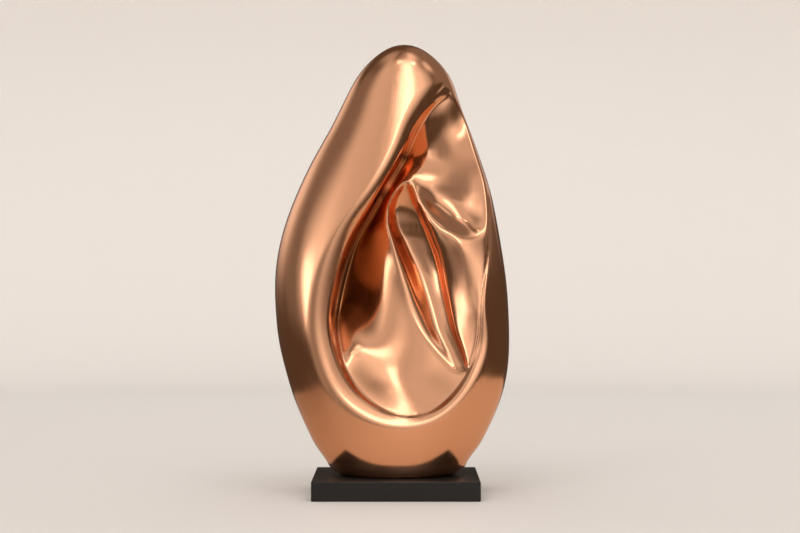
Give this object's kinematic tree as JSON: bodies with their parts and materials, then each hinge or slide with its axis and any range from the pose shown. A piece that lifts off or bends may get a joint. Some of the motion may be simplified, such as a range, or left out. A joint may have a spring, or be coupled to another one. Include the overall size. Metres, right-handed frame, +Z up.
{
  "type": "abstract metal sculpture",
  "caption": "Abstract cast copper sculpture, a pointed egg wrapped in one fold around a hollow, fixed on a low black stone plinth.",
  "frame": {"origin": "centre of the plinth's underside", "axes": "+Z up along the sculpture's height, -Y towards the viewer of the carved face, +X to that viewer's right"},
  "size_m": [0.2425, 0.14, 0.4653],
  "materials": {
    "copper": "polished, faintly brushed",
    "black_stone": "honed black stone"
  },
  "bodies": {
    "root": {"sculpture": "copper", "plinth": "black_stone"}
  },
  "joints": []
}
